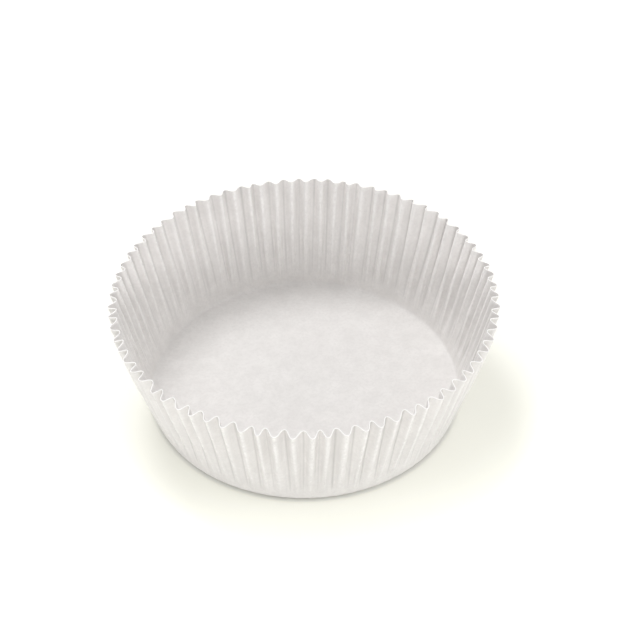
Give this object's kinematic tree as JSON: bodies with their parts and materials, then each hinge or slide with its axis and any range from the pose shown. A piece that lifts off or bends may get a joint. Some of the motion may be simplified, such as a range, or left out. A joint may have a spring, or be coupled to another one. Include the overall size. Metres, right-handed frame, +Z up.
{
  "type": "paper tartlet cup",
  "caption": "Round fluted baking cup folded from one sheet of white greaseproof paper, with a flat floor and a flared pleated wall.",
  "frame": {"origin": "middle of the floor's underside, on the surface that the cup stands on", "axes": "+Z up along the cup's axis, out of its mouth; +X through the middle of an outward rib"},
  "size_m": [0.0624, 0.0624, 0.0202],
  "materials": {
    "greaseproof_paper": "matt white greaseproof paper, slightly mottled and a little see-through against light"
  },
  "bodies": {
    "root": {"paper_cup": "greaseproof_paper"}
  },
  "joints": []
}
